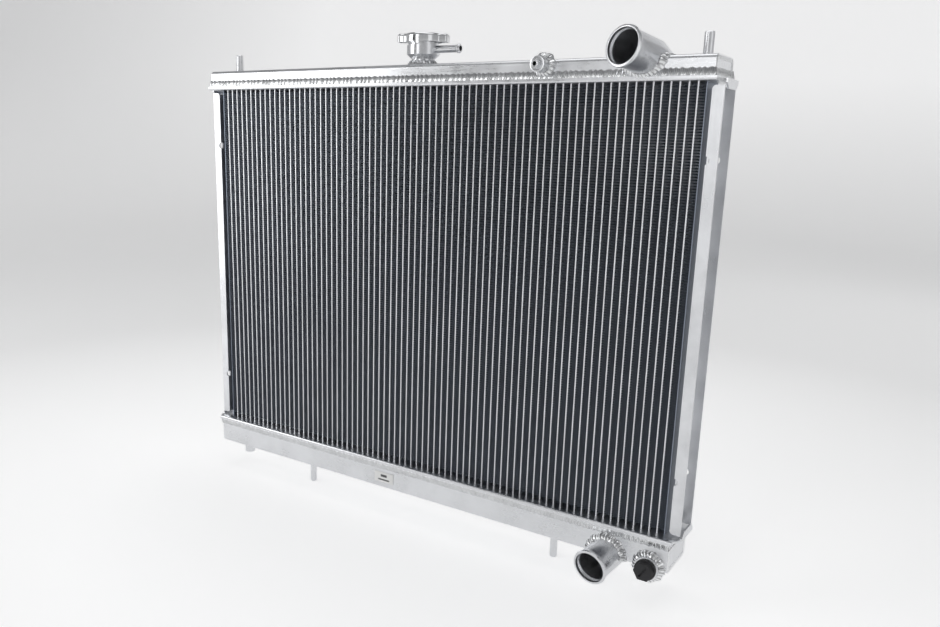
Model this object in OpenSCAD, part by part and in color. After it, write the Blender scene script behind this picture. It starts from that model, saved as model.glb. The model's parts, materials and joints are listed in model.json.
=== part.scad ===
// Downflow aluminium car radiator: two welded tanks, a finned tube core and a pressure cap.
// Frame: +X to the observer's right along the width, +Y away from the fittings side, +Z up.
// Origin: centre of the flat underside of the lower tank.

/* [Core] */
// Number of cooling tubes side by side in each of the two rows
tube_count = 74; // [40:2:90]
// Distance between neighbouring tubes
tube_pitch = 9; // [8:0.5:11]
// Thickness of a flat tube
tube_thick = 1.8; // [1.6:0.1:2.4]
// Depth of one tube, front to back
tube_depth = 17; // [15:0.5:18]
// Clear height between the two header plates
core_h = 477; // [300:1:600]

/* [Tanks] */
// Depth of both tanks, front to back
tank_d = 59; // [56:0.5:70]
// Height of the upper tank above the upper header plate
upper_tank_h = 22.5; // [20:0.5:26]
// Height of the lower tank below the lower header plate
lower_tank_h = 37.5; // [34:0.5:50]
// Wall thickness of the tanks and their end plates
tank_wall = 3; // [2.5:0.1:3.5]
// Outer radius of the folded tank edges
tank_fold_r = 5; // [4:0.5:6]

/* [Headers] */
// Thickness of the header plates
header_plate = 2.5; // [2:0.1:3]
// How far a header lip stands proud of the tank wall
header_lip = 3; // [2:0.5:4]
// Height of the header lip
header_lip_h = 4.5; // [4:0.5:6]
// Length of the end tabs that hold the side channels
header_tab_h = 7; // [5:0.5:9]

/* [Side channels] */
// Width of a side channel's flanges
flange_w = 12; // [10:0.5:14]
// Depth of a side channel over both flanges
channel_d = 39.4; // [39:0.2:42]
// Sheet thickness of the side channels
channel_sheet = 2; // [1.5:0.1:2.5]

/* [Hose necks] */
// Outside diameter of both hose necks
neck_od = 38; // [34:0.5:38]
// Outside diameter of the rolled bead at a neck's mouth
neck_bead_od = 41.5; // [40:0.5:42]
// Wall thickness of the hose necks
neck_wall = 2.5; // [2:0.1:3]
// Sideways position of the inlet neck's mouth
inlet_x = 266; // [240:1:280]
// Sideways position of the outlet neck's mouth
outlet_x = 271; // [240:1:275]

/* [Filler and cap] */
// Sideways position of the filler neck
filler_x = -9.5; // [-120:0.5:60]
// Outside diameter of the filler neck's body
filler_od = 38.9; // [38.5:0.1:39]
// Width of the cap over its two ears
cap_span = 62; // [58:1:66]
// Turn of the cap's ears from the X axis when locked
cap_angle = 19; // [0:1:45]

/* [Pins and bosses] */
// Diameter of the two upper mounting pins
top_pin_d = 10; // [8:0.5:12]
// Length of the two upper mounting pins
top_pin_l = 24; // [16:1:30]
// Diameter of the two lower mounting pins
bottom_pin_d = 9; // [8:0.5:12]
// Length of the two lower mounting pins
bottom_pin_l = 40; // [24:1:44]

/* [Hidden] */
$fn = 48;
eps = 0.01;
fit_gap = 0.05;

// Core, worked out from the tube grid
row_gap = 1;
core_d = 2 * tube_depth + row_gap;
tube_wall = 0.35;
tube_tail = 4;
fin_w = tube_pitch - tube_thick;
fin_folds = 12;
fin_sheet = 0.5;
fin_end_gap = 3;
end_sheet_t = 1;
end_sheet_x = (tube_count / 2 - 0.5) * tube_pitch + tube_thick / 2 + fin_w;
tube_corner = tube_thick * 0.3;

// Heights of the horizontal planes
lower_face_z = lower_tank_h + header_plate;
upper_face_z = lower_face_z + core_h;
upper_tank_z = upper_face_z + header_plate;
top_z = upper_tank_z + upper_tank_h;

// Side channels stand a small gap outside the end sheets
channel_gap = 5.4;
channel_x = end_sheet_x + end_sheet_t + channel_gap;
channel_out_x = channel_x + flange_w;
channel_end_gap = 3.5;
channel_corner_r = 4;
notch_r = 4;
notch_depth = 4;
notch_heights = [lower_face_z + 64, upper_face_z - 75];

// Tanks and headers end just inside the side channels' outer edges
tank_x = channel_out_x - 8;
header_y = tank_d / 2 + header_lip;
header_fold_r = 2;
header_rim_x = tank_x + header_lip;
header_end_x = channel_out_x - 1;
tab_t = 2;
tab_y = channel_d / 2 - 0.7;
tab_chamfer = 6;

// Seam weld between a header lip and its tank
seam_w = 2.8;
seam_h = 8;
end_weld_w = 5;
end_weld_t = 1.2;

// Hose necks: yaw turns the mouth towards -X, pitch turns it up
neck_r = neck_od / 2;
neck_a_l = 47;
neck_b_l = 42;
mouth_y = -62.5;
inlet_mouth = [inlet_x, mouth_y, top_z + 6.4];
inlet_yaw = 16;
inlet_pitch = [10, 29];
outlet_mouth = [outlet_x, mouth_y, -2];
outlet_yaw = 9;
outlet_pitch = [-9, -35];
neck_weld_w = 3.5;
weld_stand = 2.6;
inlet_weld_rise = 1.3;

// Filler neck and cap, heights above the top of the upper tank
filler_r = filler_od / 2;
filler_base_r = 13.5;
filler_hole_r = 10.5;
filler_chamber_r = 15.5;
filler_cone_z = 7.5;
filler_body_z = 12.5;
filler_groove_z = 23.5;
filler_groove_r = 18;
filler_seat_z = 10.6;
lip_r = 20.5;
lip_z = 26.4;
lip_top_z = 28.5;
cam_step = 15;
cap_turn = 90;
cap_lift = 2.5;
cap_r = 22.3;
cap_skirt_z = 27;
cap_top_z = 37;
cap_sheet = 1.3;
cap_ear_w = 17;
lug_half = 14;
lug_r = 18.6;
lug_z = 24.6;
lug_t = 1.7;
gasket_t = 1.3;
diaphragm_z = lip_top_z + gasket_t;
diaphragm_t = 0.6;
cage_r = 14.6;
cage_t = 0.8;
cage_z = 14.8;
cage_plate_z = diaphragm_z - 1;
rivet_r = 2.5;
rivet_tail_r = 4;
plate_floor_z = 11.5;
plate_floor_t = 1.2;
plate_r = 11.8;
plate_wall = 1.2;
plate_flange_r = 13.5;
plate_flange_z = 18.4;
plate_top_z = 19.2;
vacuum_r = 6.5;
vacuum_stem_r = 1.5;
vacuum_clip_z = 16.2;
vacuum_clip_t = 0.7;

// Overflow nipple on the filler neck
nipple_z = 18.4;
nipple_r = 4.25;
nipple_bore_r = 3;
nipple_end_x = 43;
nipple_bead_r = 5.25;

// Bleed boss and nipple
bleed_x = 167.5;
bleed_z = top_z - 6.4;
bleed_r = 8.3;
bleed_l = 18;
bleed_nipple_r = 4.25;
bleed_socket_r = 4;
bleed_socket_in = 4;
bleed_nipple_l = 6;
bleed_bore_r = 2.4;

// Drain boss and plug, lengths measured out from the lower tank's front wall
drain_x = 326.5;
drain_z = 4;
drain_r = 13;
drain_boss_l = 8.5;
drain_boss_in = 15.5;
drain_bore_r = 6.9;
drain_bore_in = 9.5;
drain_shank_r = 6.8;
drain_shank_in = 2;
drain_seal_t = 1.5;
drain_flange_r = 12;
drain_flange_t = 2;
drain_hex_r = 11;
drain_hex_t = 6.5;
drain_slot = [14, 2.2, 2.5];
drain_slot_turn = 57;

// Mounting pins and the threaded boss under the lower tank
pin_y = 6.5;
top_pin_x = 328;
bottom_pin_x = 196;
pin_chamfer = 1;
boss_r = 7.5;
boss_l = 24;
boss_bore_r = 3.4;
boss_bore_l = 14;
boss_weld = 2;

// Blank data plate
label_size = [31, 0.8, 14.5];
label_x = -38.7;
label_z = 16;

// ---------- Shared shapes ----------

// Turns +Z to point backwards (+Y), turned by yaw towards +X and by pitch downwards
module aim_back(yaw, pitch) {
    rotate([0, 0, -yaw]) rotate([-(90 + pitch), 0, 0]) children();
}

// Sets a shape's local +Z along -Y, with its origin on the front wall of a tank
module on_front(x, z) {
    translate([x, -tank_d / 2, z]) rotate([90, 0, 0]) children();
}

// Extrudes a shape drawn in the YZ plane along X, from x0 to x1
module along_x(x0, x1) {
    translate([x0, 0, 0]) rotate([90, 0, 90]) linear_extrude(x1 - x0) children();
}

module tube_ring(r_out, r_in, h) {
    difference() {
        cylinder(r = r_out, h = h);
        translate([0, 0, -eps]) cylinder(r = r_in, h = h + 2 * eps);
    }
}

// Box with two rounded edges, drawn in 2D with its open side at y = 0
module folded_outline(w, h, r) {
    translate([-w / 2, 0]) square([w, h - r]);
    translate([-w / 2 + r, 0]) square([w - 2 * r, h]);
    for (s = [-1, 1]) translate([s * (w / 2 - r), h - r]) circle(r);
}

// Outline of a flat tube, seen from above, with its corners cut
module tube_outline(w, d, c) {
    polygon([
        [-w / 2 + c, -d / 2], [w / 2 - c, -d / 2], [w / 2, -d / 2 + c], [w / 2, d / 2 - c],
        [w / 2 - c, d / 2], [-w / 2 + c, d / 2], [-w / 2, d / 2 - c], [-w / 2, -d / 2 + c]
    ]);
}

// Two-section mitred pipe that starts at the mouth and runs back into a tank. lead lets a bore
// start in front of the mouth, and gap parts the two sections at the mitre.
module mitred_pipe(mouth, yaw, pitch, r, lead = 0, gap = 0) {
    bend = mouth + neck_a_l * [
        sin(yaw) * cos(pitch[0]), cos(yaw) * cos(pitch[0]), -sin(pitch[0])
    ];
    cut = 120;
    reach = 25;
    intersection() {
        translate(mouth) aim_back(yaw, pitch[0]) translate([0, 0, -lead])
            cylinder(r = r, h = neck_a_l + reach + lead);
        translate(bend) aim_back(yaw, (pitch[0] + pitch[1]) / 2)
            translate([-cut / 2, -cut / 2, -cut - gap]) cube(cut);
    }
    intersection() {
        translate(bend) aim_back(yaw, pitch[1]) translate([0, 0, -reach])
            cylinder(r = r, h = neck_b_l + reach);
        translate(bend) aim_back(yaw, (pitch[0] + pitch[1]) / 2)
            translate([-cut / 2, -cut / 2, gap]) cube(cut);
    }
}

// Rolled bead just behind a neck's mouth
module neck_bead(mouth, yaw, pitch) {
    bead_l = 5;
    step = (neck_bead_od - neck_od) / 2;
    translate(mouth) aim_back(yaw, pitch[0]) rotate_extrude() polygon([
        [neck_r - neck_wall / 2, 0], [neck_r + step * 0.6, 0], [neck_r + step, 1],
        [neck_r + step, 3], [neck_r, bead_l], [neck_r - neck_wall / 2, bead_l]
    ]);
}

module inlet_pipe(r, lead = 0, gap = 0) {
    mitred_pipe(inlet_mouth, inlet_yaw, inlet_pitch, r, lead, gap);
}

module outlet_pipe(r, lead = 0) {
    mitred_pipe(outlet_mouth, outlet_yaw, outlet_pitch, r, lead);
}

module bleed_cylinder(r) {
    on_front(bleed_x, bleed_z) translate([0, 0, -bleed_r]) cylinder(r = r, h = bleed_l + bleed_r);
}

module drain_cylinder(r) {
    on_front(drain_x, drain_z) translate([0, 0, -drain_boss_in])
        cylinder(r = r, h = drain_boss_l + drain_boss_in);
}

// Solid outer form of each tank, grown by g for its fillet welds
module upper_tank_form(g = 0) {
    translate([0, 0, upper_tank_z]) along_x(-tank_x, tank_x)
        folded_outline(tank_d + 2 * g, upper_tank_h + g, tank_fold_r + g);
}

module lower_tank_form(g = 0) {
    translate([0, 0, lower_tank_h]) mirror([0, 0, 1]) along_x(-tank_x, tank_x)
        folded_outline(tank_d + 2 * g, lower_tank_h + g, tank_fold_r + g);
}

module tank_inside(h) {
    folded_outline(tank_d - 2 * tank_wall, h - tank_wall, tank_fold_r - tank_wall);
}

// Space behind the front wall and on the core side of the upper tank's ceiling
module inside_upper() {
    translate([-tank_x, -tank_d / 2 + tank_wall, 0])
        cube([2 * tank_x, tank_d, top_z - tank_wall]);
}

// Space behind the front wall and above the lower tank's floor
module inside_lower() {
    translate([-tank_x, -tank_d / 2 + tank_wall, tank_wall])
        cube([2 * tank_x, tank_d, top_z]);
}

// ---------- Core ----------

module tube_positions() {
    for (i = [0 : tube_count - 1]) translate([(i - (tube_count - 1) / 2) * tube_pitch, 0])
        children();
}

module tube_row(row_y) {
    color("gainsboro") translate([0, row_y, lower_face_z - tube_tail])
        linear_extrude(core_h + 2 * tube_tail) tube_positions() difference() {
            tube_outline(tube_thick, tube_depth, tube_corner);
            tube_outline(tube_thick - 2 * tube_wall, tube_depth - 2 * tube_wall,
                tube_corner - tube_wall / 2);
        }
}

module front_tube_row() { tube_row(-(tube_depth + row_gap) / 2); }
module rear_tube_row() { tube_row((tube_depth + row_gap) / 2); }

// Outline in the XZ plane of one corrugated strip: coarse folds, with the real fine one's metal
module fin_outline() {
    fold = (core_h - 2 * fin_end_gap) / fin_folds;
    swing = (fin_w - fin_sheet) / 2;
    function fold_point(i, side) = [(i % 2 == 0 ? -swing : swing) + side * fin_sheet / 2, i * fold];
    polygon(concat(
        [for (i = [0 : fin_folds]) fold_point(i, -1)],
        [for (i = [fin_folds : -1 : 0]) fold_point(i, 1)]
    ));
}

module fin_strips() {
    color("#2b2f36") translate([0, core_d / 2, lower_face_z + fin_end_gap]) rotate([90, 0, 0])
        linear_extrude(core_d) for (i = [0 : tube_count])
            translate([(i - tube_count / 2) * tube_pitch, 0]) fin_outline();
}

module end_sheet() {
    translate([end_sheet_x, -core_d / 2, lower_face_z]) cube([end_sheet_t, core_d, core_h]);
}

module end_sheet_right() { color("#2b2f36") end_sheet(); }
module end_sheet_left() { color("#2b2f36") mirror([1, 0, 0]) end_sheet(); }

// ---------- Side channels ----------

// Flange outline in the XZ plane, rounded where it meets the web's ends
module flange_outline() {
    z0 = lower_face_z + channel_end_gap;
    h = core_h - 2 * channel_end_gap;
    translate([channel_x + channel_corner_r, z0]) square([flange_w - channel_corner_r, h]);
    translate([channel_x, z0 + channel_corner_r]) square([flange_w, h - 2 * channel_corner_r]);
    for (z = [z0 + channel_corner_r, z0 + h - channel_corner_r])
        translate([channel_x + channel_corner_r, z]) circle(channel_corner_r);
}

module side_channel() {
    difference() {
        translate([0, channel_d / 2, 0]) rotate([90, 0, 0]) linear_extrude(channel_d)
            flange_outline();
        translate([channel_x + channel_sheet, -channel_d / 2 + channel_sheet, 0])
            cube([flange_w, channel_d - 2 * channel_sheet, top_z]);
        for (side = [-1, 1]) for (z = notch_heights)
            translate([channel_x, side * channel_d / 2, z]) rotate([90, 0, 0])
                cylinder(r = notch_r, h = 2 * notch_depth, center = true);
    }
}

module side_channel_right() { color("lightgray") side_channel(); }
module side_channel_left() { color("lightgray") mirror([1, 0, 0]) side_channel(); }

// ---------- Headers ----------

module header_end_plan() {
    polygon([
        [0, -header_y + header_fold_r], [header_end_x - 4, -header_y + header_fold_r],
        [header_end_x, -header_y + 8], [channel_out_x, -tab_y], [channel_out_x + tab_t, -tab_y],
        [channel_out_x + tab_t, tab_y], [channel_out_x, tab_y], [header_end_x, header_y - 8],
        [header_end_x - 4, header_y - header_fold_r], [0, header_y - header_fold_r]
    ]);
}

module header_tab() {
    translate([0, 0, header_plate]) along_x(channel_out_x, channel_out_x + tab_t)
        polygon([
            [-tab_y, 0], [-tab_y, -header_plate - header_tab_h + tab_chamfer],
            [-tab_y + tab_chamfer, -header_plate - header_tab_h],
            [tab_y - tab_chamfer, -header_plate - header_tab_h],
            [tab_y, -header_plate - header_tab_h + tab_chamfer], [tab_y, 0]
        ]);
}

// Header pan, drawn as the upper one: its core face at z = 0 and its tank side above
module header_pan() {
    difference() {
        union() {
            along_x(-header_rim_x, header_rim_x) translate([0, header_lip_h])
                mirror([0, 1]) folded_outline(2 * header_y, header_lip_h, header_fold_r);
            for (s = [0, 1]) mirror([s, 0, 0]) {
                linear_extrude(header_plate) header_end_plan();
                header_tab();
            }
        }
        translate([-tank_x, -tank_d / 2, header_plate])
            cube([2 * tank_x, tank_d, header_lip_h]);
        for (row = [-1, 1]) translate([0, row * (tube_depth + row_gap) / 2, -eps])
            linear_extrude(header_plate + 2 * eps) tube_positions()
                tube_outline(tube_thick + 2 * fit_gap, tube_depth + 2 * fit_gap, tube_corner);
    }
}

module upper_header() { color("silver") translate([0, 0, upper_face_z]) header_pan(); }

module lower_header() {
    color("silver") translate([0, 0, lower_face_z]) mirror([0, 0, 1]) header_pan();
}

// ---------- Tanks ----------

module upper_tank() {
    color("lightgray") difference() {
        upper_tank_form();
        translate([0, 0, upper_tank_z]) along_x(-tank_x - eps, tank_x + eps)
            tank_inside(upper_tank_h);
        inlet_pipe(neck_r);
        bleed_cylinder(bleed_r);
        translate([filler_x, 0, top_z - tank_wall - eps])
            cylinder(r = filler_base_r, h = tank_wall + 2 * eps);
    }
}

module lower_tank() {
    color("lightgray") difference() {
        lower_tank_form();
        translate([0, 0, lower_tank_h]) mirror([0, 0, 1]) along_x(-tank_x - eps, tank_x + eps)
            tank_inside(lower_tank_h);
        outlet_pipe(neck_r);
        drain_cylinder(drain_r);
    }
}

module upper_end_plate() {
    translate([0, 0, upper_tank_z]) along_x(tank_x - tank_wall, tank_x)
        tank_inside(upper_tank_h);
}

module lower_end_plate() {
    translate([0, 0, lower_tank_h]) mirror([0, 0, 1]) along_x(tank_x - tank_wall, tank_x)
        tank_inside(lower_tank_h);
}

module upper_end_plate_right() { color("silver") upper_end_plate(); }
module upper_end_plate_left() { color("silver") mirror([1, 0, 0]) upper_end_plate(); }
module lower_end_plate_right() { color("silver") lower_end_plate(); }
module lower_end_plate_left() { color("silver") mirror([1, 0, 0]) lower_end_plate(); }

// ---------- Hose necks ----------

module inlet_neck() {
    color("silver") difference() {
        union() {
            inlet_pipe(neck_r);
            neck_bead(inlet_mouth, inlet_yaw, inlet_pitch);
        }
        inlet_pipe(neck_r - neck_wall, 1);
        inside_upper();
    }
}

module outlet_neck() {
    color("silver") difference() {
        union() {
            outlet_pipe(neck_r);
            neck_bead(outlet_mouth, outlet_yaw, outlet_pitch);
        }
        outlet_pipe(neck_r - neck_wall, 1);
        inside_lower();
    }
}

// ---------- Filler neck and overflow ----------

module at_filler() { translate([filler_x, 0, top_z]) children(); }

// One stretch of the neck's cam lip, between two angles
module lip_sector(from, to, z0) {
    reach = 2 * lip_r;
    translate([0, 0, z0]) linear_extrude(lip_top_z - z0) intersection() {
        difference() {
            circle(lip_r);
            circle(filler_groove_r - 0.5);
        }
        polygon([[0, 0], reach * [cos(from), sin(from)], reach * [cos(to), sin(to)]]);
    }
}

// The lip's underside climbs away from the locked lug, then leaves a gap to lift it through
module cam_lip() {
    steps = 180 / cam_step;
    open_from = 4;
    open_to = 7;
    for (side = [0, 180]) for (k = [0 : steps - 1]) {
        from = cap_angle + 90 - lug_half + side + k * cam_step;
        rise = k > open_to ? 0 : cap_lift * (k + 1) * cam_step / cap_turn;
        if (k < open_from || k > open_to) lip_sector(from, from + cam_step, lip_z + rise);
    }
}

module filler_neck() {
    color("silver") at_filler() difference() {
        union() {
            rotate_extrude() polygon([
                [filler_hole_r, -tank_wall], [filler_base_r, -tank_wall],
                [filler_base_r, filler_cone_z], [filler_r, filler_body_z],
                [filler_r, filler_groove_z], [filler_groove_r, filler_groove_z],
                [filler_groove_r, lip_top_z], [filler_chamber_r, lip_top_z],
                [filler_chamber_r, filler_seat_z], [filler_hole_r, filler_seat_z]
            ]);
            cam_lip();
        }
        translate([0, 0, nipple_z]) rotate([0, 90, 0]) cylinder(r = nipple_r, h = 2 * lip_r);
    }
}

module overflow_nipple() {
    nipple_l = nipple_end_x - filler_x;
    inner = filler_chamber_r + 0.6;
    color("silver") at_filler() translate([0, 0, nipple_z]) rotate([0, 90, 0])
        rotate_extrude() polygon([
            [nipple_bore_r, inner], [nipple_r, inner], [nipple_r, nipple_l - 5],
            [nipple_bead_r, nipple_l - 3], [nipple_bead_r, nipple_l - 1.5],
            [nipple_r, nipple_l], [nipple_bore_r, nipple_l]
        ]);
}

// ---------- Cap ----------

module cap_outline(inset) {
    circle(cap_r - inset);
    intersection() {
        circle(cap_span / 2 - inset);
        square([cap_span, cap_ear_w - 2 * inset], center = true);
    }
}

// Hook that runs under the neck's lip: a wall down from the skirt, with its foot turned inwards
module cap_lug() {
    out_r = cap_r - 0.2;
    in_r = cap_r - cap_sheet + 0.2;
    rotate([0, 0, -lug_half]) rotate_extrude(angle = 2 * lug_half) polygon([
        [lug_r, lug_z], [out_r, lug_z], [out_r, cap_skirt_z + 2], [in_r, cap_skirt_z + 2],
        [in_r, lug_z + lug_t], [lug_r, lug_z + lug_t]
    ]);
}

module cap_shell() {
    bevel = 1.2;
    color("silver") at_filler() rotate([0, 0, cap_angle]) {
        difference() {
            translate([0, 0, cap_skirt_z]) {
                linear_extrude(cap_top_z - cap_skirt_z - bevel) cap_outline(0);
                linear_extrude(cap_top_z - cap_skirt_z) cap_outline(bevel);
            }
            translate([0, 0, cap_skirt_z - eps])
                linear_extrude(cap_top_z - cap_skirt_z - cap_sheet) cap_outline(cap_sheet);
            cylinder(r = rivet_r + 0.1, h = cap_top_z + 1);
        }
        for (side = [90, 270]) rotate([0, 0, side]) cap_lug();
    }
}

module cap_rivet() {
    head_r = 5;
    head_t = 1;
    shoulder_r = 4.5;
    color("gray") at_filler() rotate_extrude() polygon([
        [0, cage_plate_z - head_t], [rivet_tail_r, cage_plate_z - head_t],
        [rivet_tail_r, cage_plate_z], [rivet_r, cage_plate_z],
        [rivet_r, diaphragm_z + diaphragm_t], [shoulder_r, diaphragm_z + diaphragm_t],
        [shoulder_r, cap_top_z - cap_sheet - 0.1], [rivet_r, cap_top_z - cap_sheet - 0.1],
        [rivet_r, cap_top_z + 0.1], [head_r, cap_top_z + 0.1],
        [head_r - 1.5, cap_top_z + 0.1 + head_t], [0, cap_top_z + 0.1 + head_t]
    ]);
}

module cap_diaphragm() {
    color("silver") at_filler() translate([0, 0, diaphragm_z])
        tube_ring(lip_r - 0.7, rivet_r, diaphragm_t);
}

module cap_gasket() {
    color("#202020") at_filler() translate([0, 0, lip_top_z])
        tube_ring(lip_r - 1, cage_r + 0.1, gasket_t);
}

module cap_valve_cage() {
    color("darkgray") at_filler() rotate_extrude() polygon([
        [rivet_r, cage_plate_z], [cage_r - cage_t, cage_plate_z],
        [cage_r - cage_t, cage_z + cage_t], [cage_r - 2.4, cage_z + cage_t],
        [cage_r - 2.4, cage_z], [cage_r, cage_z], [cage_r, diaphragm_z], [rivet_r, diaphragm_z]
    ]);
}

module pressure_plate() {
    color("darkgray") at_filler() rotate_extrude() polygon([
        [vacuum_stem_r + 0.2, plate_floor_z], [plate_r, plate_floor_z],
        [plate_r, plate_flange_z], [plate_flange_r, plate_flange_z],
        [plate_flange_r, plate_top_z], [plate_r - plate_wall, plate_top_z],
        [plate_r - plate_wall, plate_floor_z + plate_floor_t],
        [vacuum_stem_r + 0.2, plate_floor_z + plate_floor_t]
    ]);
}

module pressure_seal() {
    seal_z = filler_seat_z + fit_gap;
    color("#202020") at_filler() translate([0, 0, seal_z])
        tube_ring(cage_r - 0.4, vacuum_r + 1, plate_floor_z - seal_z);
}

module vacuum_valve() {
    disc_t = 1;
    color("goldenrod") at_filler() {
        translate([0, 0, plate_floor_z - fit_gap - disc_t]) cylinder(r = vacuum_r, h = disc_t);
        translate([0, 0, plate_floor_z - fit_gap - disc_t])
            cylinder(r = vacuum_stem_r, h = vacuum_clip_z + vacuum_clip_t - plate_floor_z + disc_t);
    }
}

module vacuum_clip() {
    color("gray") at_filler() translate([0, 0, vacuum_clip_z])
        tube_ring(2 * vacuum_stem_r, vacuum_stem_r, vacuum_clip_t - fit_gap);
}

// Round-wire coil spring between two heights
module coil_spring(z0, z1, r, wire, turns) {
    ring = 24;
    sides = 8;
    steps = turns * ring;
    rise = z1 - z0 - wire;
    function wire_point(i, j) =
        let (a = 360 * i / ring, b = 360 * j / sides, rr = r + wire / 2 * cos(b))
        [rr * cos(a), rr * sin(a), z0 + wire / 2 * (1 + sin(b)) + rise * i / steps];
    points = [for (i = [0 : steps], j = [0 : sides - 1]) wire_point(i, j)];
    walls = [for (i = [0 : steps - 1], j = [0 : sides - 1])
        [i * sides + j, (i + 1) * sides + j, (i + 1) * sides + (j + 1) % sides,
            i * sides + (j + 1) % sides]];
    start = [for (j = [0 : sides - 1]) j];
    finish = [for (j = [sides - 1 : -1 : 0]) steps * sides + j];
    polyhedron(points, concat(walls, [start, finish]));
}

module pressure_spring() {
    color("silver") at_filler()
        coil_spring(plate_top_z + fit_gap, cage_plate_z - fit_gap, 12, 1.7, 3);
}

module vacuum_spring() {
    color("silver") at_filler()
        coil_spring(plate_floor_z + plate_floor_t + fit_gap, vacuum_clip_z - fit_gap, 2.3, 0.5, 4);
}

// ---------- Bleed fitting ----------

module bleed_boss() {
    color("silver") difference() {
        bleed_cylinder(bleed_r);
        inside_upper();
        on_front(bleed_x, bleed_z) translate([0, 0, -bleed_l])
            cylinder(r = bleed_bore_r, h = 2 * bleed_l);
        on_front(bleed_x, bleed_z) translate([0, 0, bleed_socket_in])
            cylinder(r = bleed_socket_r, h = bleed_l);
    }
}

module bleed_nipple() {
    color("gainsboro") on_front(bleed_x, bleed_z) rotate_extrude() polygon([
        [bleed_bore_r, bleed_socket_in], [bleed_socket_r, bleed_socket_in],
        [bleed_socket_r, bleed_l], [bleed_nipple_r, bleed_l],
        [bleed_nipple_r, bleed_l + bleed_nipple_l], [bleed_bore_r, bleed_l + bleed_nipple_l]
    ]);
}

// ---------- Drain ----------

module drain_boss() {
    color("silver") difference() {
        drain_cylinder(drain_r);
        inside_lower();
        on_front(drain_x, drain_z) translate([0, 0, -drain_bore_in])
            cylinder(r = drain_bore_r, h = 2 * drain_bore_in);
    }
}

module drain_seal() {
    color("#303030") on_front(drain_x, drain_z) translate([0, 0, drain_boss_l])
        tube_ring(drain_flange_r - 1, drain_shank_r + 0.2, drain_seal_t);
}

module drain_plug() {
    flange_z = drain_boss_l + drain_seal_t;
    hex_z = flange_z + drain_flange_t;
    color("#1a1a1c") on_front(drain_x, drain_z) difference() {
        union() {
            translate([0, 0, -drain_shank_in])
                cylinder(r = drain_shank_r, h = flange_z + drain_shank_in + eps);
            translate([0, 0, flange_z]) cylinder(r = drain_flange_r, h = drain_flange_t);
            translate([0, 0, hex_z - eps])
                cylinder(r = drain_hex_r, h = drain_hex_t + eps, $fn = 6);
        }
        translate([0, 0, hex_z + drain_hex_t]) rotate([0, 0, drain_slot_turn]) cube([
            drain_slot[0], drain_slot[1], 2 * drain_slot[2]
        ], center = true);
    }
}

// ---------- Mounting pins ----------

// Pin with a chamfered tip, standing up from z = 0
module pin(d, l) {
    rotate_extrude() polygon([
        [0, 0], [d / 2, 0], [d / 2, l - pin_chamfer], [d / 2 - pin_chamfer, l], [0, l]
    ]);
}

module top_pin(side) {
    color("gainsboro") translate([side * top_pin_x, pin_y, top_z]) pin(top_pin_d, top_pin_l);
}

module bottom_pin(side) {
    color("gainsboro") translate([side * bottom_pin_x, pin_y, 0]) mirror([0, 0, 1])
        pin(bottom_pin_d, bottom_pin_l);
}

module top_pin_left() { top_pin(-1); }
module top_pin_right() { top_pin(1); }
module bottom_pin_left() { bottom_pin(-1); }
module bottom_pin_right() { bottom_pin(1); }

module lower_threaded_boss() {
    color("silver") translate([-top_pin_x, pin_y, 0]) mirror([0, 0, 1]) difference() {
        pin(2 * boss_r, boss_l);
        translate([0, 0, boss_l - boss_bore_l]) cylinder(r = boss_bore_r, h = boss_l);
    }
}

// ---------- Welds ----------

// Concave fillet in the YZ plane, from a header lip (w wide) up a tank wall (h high)
module seam_outline() {
    polygon([[0, 0], [seam_w, 0], [seam_w * 0.62, seam_h * 0.3], [seam_w * 0.27, seam_h * 0.65],
        [0, seam_h]]);
}

// Fillet right round a tank, drawn as the upper one with its lip face at z = 0
module seam_weld() {
    for (s = [0, 1]) mirror([0, s, 0]) translate([0, tank_d / 2, 0])
        along_x(-tank_x - seam_w, tank_x + seam_w) seam_outline();
    for (s = [0, 1]) mirror([s, 0, 0])
        translate([tank_x, tank_d / 2 + seam_w, 0]) rotate([90, 0, 0])
            linear_extrude(tank_d + 2 * seam_w) seam_outline();
}

module upper_seam_weld() {
    color("gainsboro") difference() {
        translate([0, 0, upper_face_z + header_lip_h]) seam_weld();
        upper_tank_form();
        inlet_pipe(neck_r + neck_weld_w);
        bleed_cylinder(bleed_r + neck_weld_w);
    }
}

module lower_seam_weld() {
    color("gainsboro") difference() {
        translate([0, 0, lower_face_z - header_lip_h]) mirror([0, 0, 1]) seam_weld();
        lower_tank_form();
    }
}

// U-shaped bead on a tank's end, over the joint with its end plate
module end_weld_outline(h) {
    difference() {
        translate([0, seam_h]) folded_outline(tank_d - 1, h - seam_h - 0.5, tank_fold_r);
        translate([0, -eps]) folded_outline(tank_d - 1 - 2 * end_weld_w, h - end_weld_w, 2);
    }
}

module upper_end_welds() {
    color("gainsboro") for (s = [0, 1]) mirror([s, 0, 0])
        translate([0, 0, upper_tank_z + header_lip_h - header_plate])
            along_x(tank_x, tank_x + end_weld_t)
                end_weld_outline(upper_tank_h - header_lip_h + header_plate);
}

module lower_end_welds() {
    color("gainsboro") for (s = [0, 1]) mirror([s, 0, 0])
        translate([0, 0, lower_tank_h - header_lip_h + header_plate]) mirror([0, 0, 1])
            along_x(tank_x, tank_x + end_weld_t)
                end_weld_outline(lower_tank_h - header_lip_h + header_plate);
}

module inlet_weld() {
    color("gainsboro") difference() {
        intersection() {
            inlet_pipe(neck_r + neck_weld_w, gap = fit_gap);
            upper_tank_form(weld_stand);
        }
        inlet_pipe(neck_r);
        upper_tank_form();
        translate([-tank_x, -tank_d, 0])
            cube([2 * tank_x, 2 * tank_d, upper_face_z + header_lip_h + inlet_weld_rise]);
    }
}

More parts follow.
